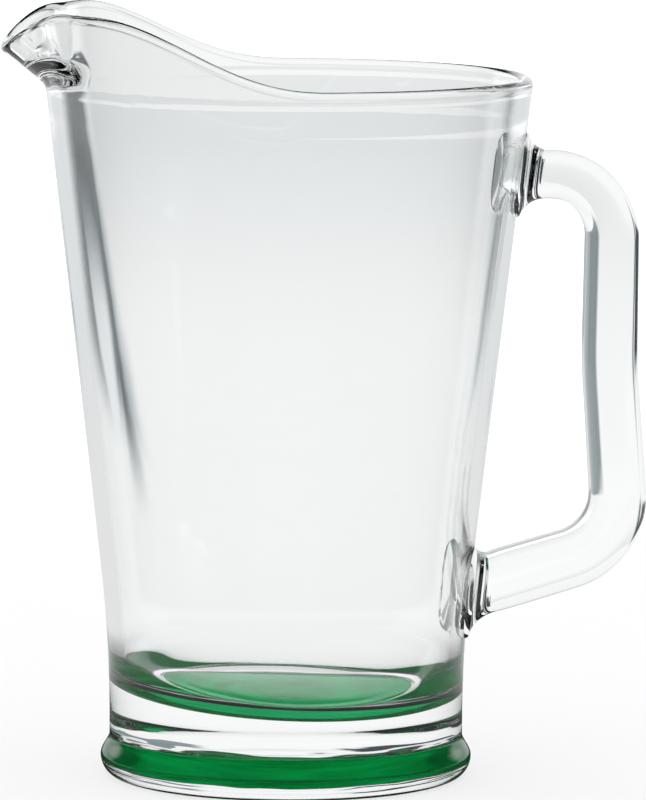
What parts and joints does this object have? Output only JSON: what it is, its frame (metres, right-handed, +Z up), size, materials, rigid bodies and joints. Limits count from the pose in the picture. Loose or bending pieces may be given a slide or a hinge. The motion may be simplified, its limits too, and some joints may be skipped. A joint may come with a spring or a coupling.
{
  "type": "glass pitcher",
  "caption": "Clear pressed-glass pitcher with a tapering wall, pulled pouring lip, welded glass handle and a thick base coated green underneath.",
  "frame": {"origin": "on the vessel's axis, on the surface that the pitcher stands on", "axes": "+Z up along the vessel's axis, +X towards the handle, -X towards the pouring lip, so the XZ plane is the mirror plane"},
  "size_m": [0.1885, 0.1416, 0.224],
  "materials": {
    "clear_glass": "polished clear pressed glass",
    "handle_glass": "fire-polished clear glass",
    "green_lacquer": "translucent green lacquer"
  },
  "bodies": {
    "root": {"body": "clear_glass", "handle": "handle_glass", "base_coat": "green_lacquer"}
  },
  "joints": []
}
